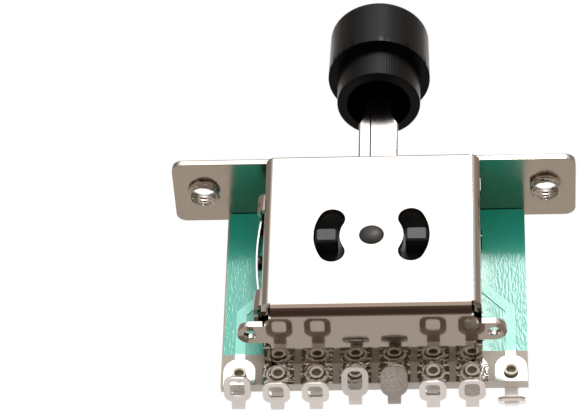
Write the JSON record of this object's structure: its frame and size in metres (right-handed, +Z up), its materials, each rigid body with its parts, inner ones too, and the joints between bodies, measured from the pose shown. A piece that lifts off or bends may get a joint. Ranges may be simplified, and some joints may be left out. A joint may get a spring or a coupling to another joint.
{
  "type": "guitar pickup selector switch",
  "caption": "three-position lever switch for an electric guitar: folded steel box and circuit board under a narrow mounting plate, black barrel knob on a flat lever",
  "frame": {"origin": "on the mounting plate's top face, midway between the two tapped mounting holes", "axes": "+X along the plate and the lever's swing, +Y towards the circuit board, +Z up along the lever at its middle position"},
  "size_m": [0.0486, 0.013, 0.0583],
  "materials": {
    "nickel_plate": "bright nickel plate on folded steel sheet",
    "lever_nickel": "bright nickel plate on folded steel strip",
    "spring_steel": "satin rolled spring steel",
    "pin_steel": "dark oiled steel",
    "board_laminate": "green solder mask on glass laminate, bare at the lower edge",
    "track_copper": "thin copper under green mask, tinned at the pads",
    "lug_tin": "bright tin plate on brass",
    "eyelet_tin": "bright tin plate on brass",
    "solder_alloy": "smooth solder",
    "wiper_bronze": "rolled spring bronze",
    "rotor_plastic": "black moulded nylon",
    "knob_plastic": "black moulded plastic with a soft sheen"
  },
  "bodies": {
    "housing": {"mounting_plate": "nickel_plate", "box_cover": "nickel_plate", "circuit_board": "board_laminate", "contact_tracks": "track_copper", "pivot_pin": "pin_steel", "detent_spring": "spring_steel", "eyelet_1": "eyelet_tin", "solder_lug_1": "lug_tin", "eyelet_2": "eyelet_tin", "solder_lug_2": "lug_tin", "eyelet_3": "eyelet_tin", "solder_lug_3": "lug_tin", "eyelet_4": "eyelet_tin", "solder_lug_4": "lug_tin", "eyelet_5": "eyelet_tin", "solder_lug_5": "lug_tin", "eyelet_6": "eyelet_tin", "solder_lug_6": "lug_tin", "eyelet_7": "eyelet_tin", "solder_lug_7": "lug_tin", "eyelet_8": "eyelet_tin", "solder_lug_8": "lug_tin", "solder_bead_5": "solder_alloy", "solder_bead_7": "solder_alloy"},
    "lever_assembly": {"rotor": "rotor_plastic", "lever": "lever_nickel", "knob": "knob_plastic", "wiper_left": "wiper_bronze", "wiper_right": "wiper_bronze"}
  },
  "joints": [
    {"name": "lever_swing", "type": "hinge", "parent": "housing", "child": "lever_assembly", "pos_m": [0, 0, -0.013], "axis": [0, 1, 0], "range_deg": [-24, 24], "deforming": ["detent_spring"]}
  ]
}
